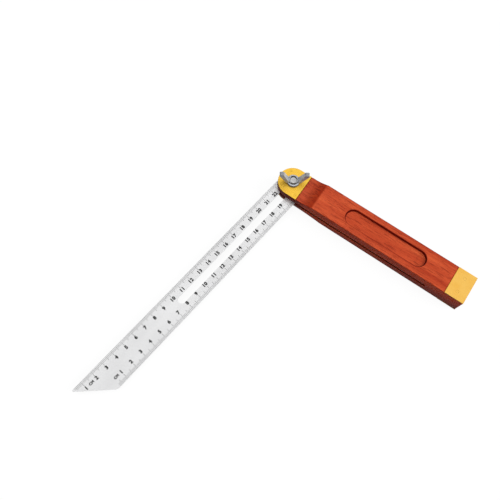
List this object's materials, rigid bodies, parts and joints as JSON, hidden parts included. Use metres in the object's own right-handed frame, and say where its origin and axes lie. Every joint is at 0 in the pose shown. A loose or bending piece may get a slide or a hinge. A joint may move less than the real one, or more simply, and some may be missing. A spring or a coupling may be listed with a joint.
{
  "type": "sliding bevel",
  "caption": "Sliding bevel with a brass faced wooden stock and a slotted steel rule blade that swings and slides on a bolt, clamped by a wing nut.",
  "frame": {"origin": "on the plane of the stock's back face, under the middle of the tool's box at rest", "axes": "+X along the stock from the head to the butt, +Z from the back face to the wing nut's face, the blade points towards -Y at rest"},
  "size_m": [0.2034, 0.2438, 0.0284],
  "materials": {
    "stock_wood": "red-brown hardwood, satin lacquer, grain along the stock",
    "plate_brass": "satin polished brass",
    "pin_brass": "filed brass",
    "plated_steel": "bright zinc plate",
    "nut_steel": "dull zinc plated pressing with rounded edges",
    "blade_steel": "satin stainless steel with black printed scales"
  },
  "bodies": {
    "stock": {"handle_stock": "stock_wood", "head_plate_front": "plate_brass", "head_plate_back": "plate_brass", "head_pins_front": "pin_brass", "head_pins_back": "pin_brass", "butt_plate_front": "plate_brass", "butt_plate_back": "plate_brass", "butt_pins": "pin_brass", "pivot_bolt": "plated_steel"},
    "pivot_washers": {"friction_washer_front": "pin_brass", "friction_washer_back": "pin_brass"},
    "blade": {"blade": "blade_steel"},
    "nut_washer": {"nut_washer": "plated_steel"},
    "wing_nut": {"wing_nut": "nut_steel"}
  },
  "joints": [
    {"name": "blade_swing", "type": "hinge", "parent": "stock", "child": "pivot_washers", "pos_m": [-0.06131, 0.10938, 0.0076], "axis": [0, 0, 1], "range_deg": [-250, 85]},
    {"name": "blade_slide", "type": "slide", "parent": "pivot_washers", "child": "blade", "axis": [0.1219, 0.9925, 0], "range_m": [0, 0.132]},
    {"name": "wing_nut_turn", "type": "hinge", "parent": "stock", "child": "nut_washer", "pos_m": [-0.06131, 0.10938, 0.0156], "axis": [0, 0, 1], "range_deg": [0, 360]},
    {"name": "nut_lift", "type": "slide", "parent": "nut_washer", "child": "wing_nut", "axis": [0, 0, 1], "range_m": [0, 0.001]}
  ],
  "couplings": [
    {"joint": "wing_nut_turn", "follows": "nut_lift", "rad_per_m": 6283}
  ]
}
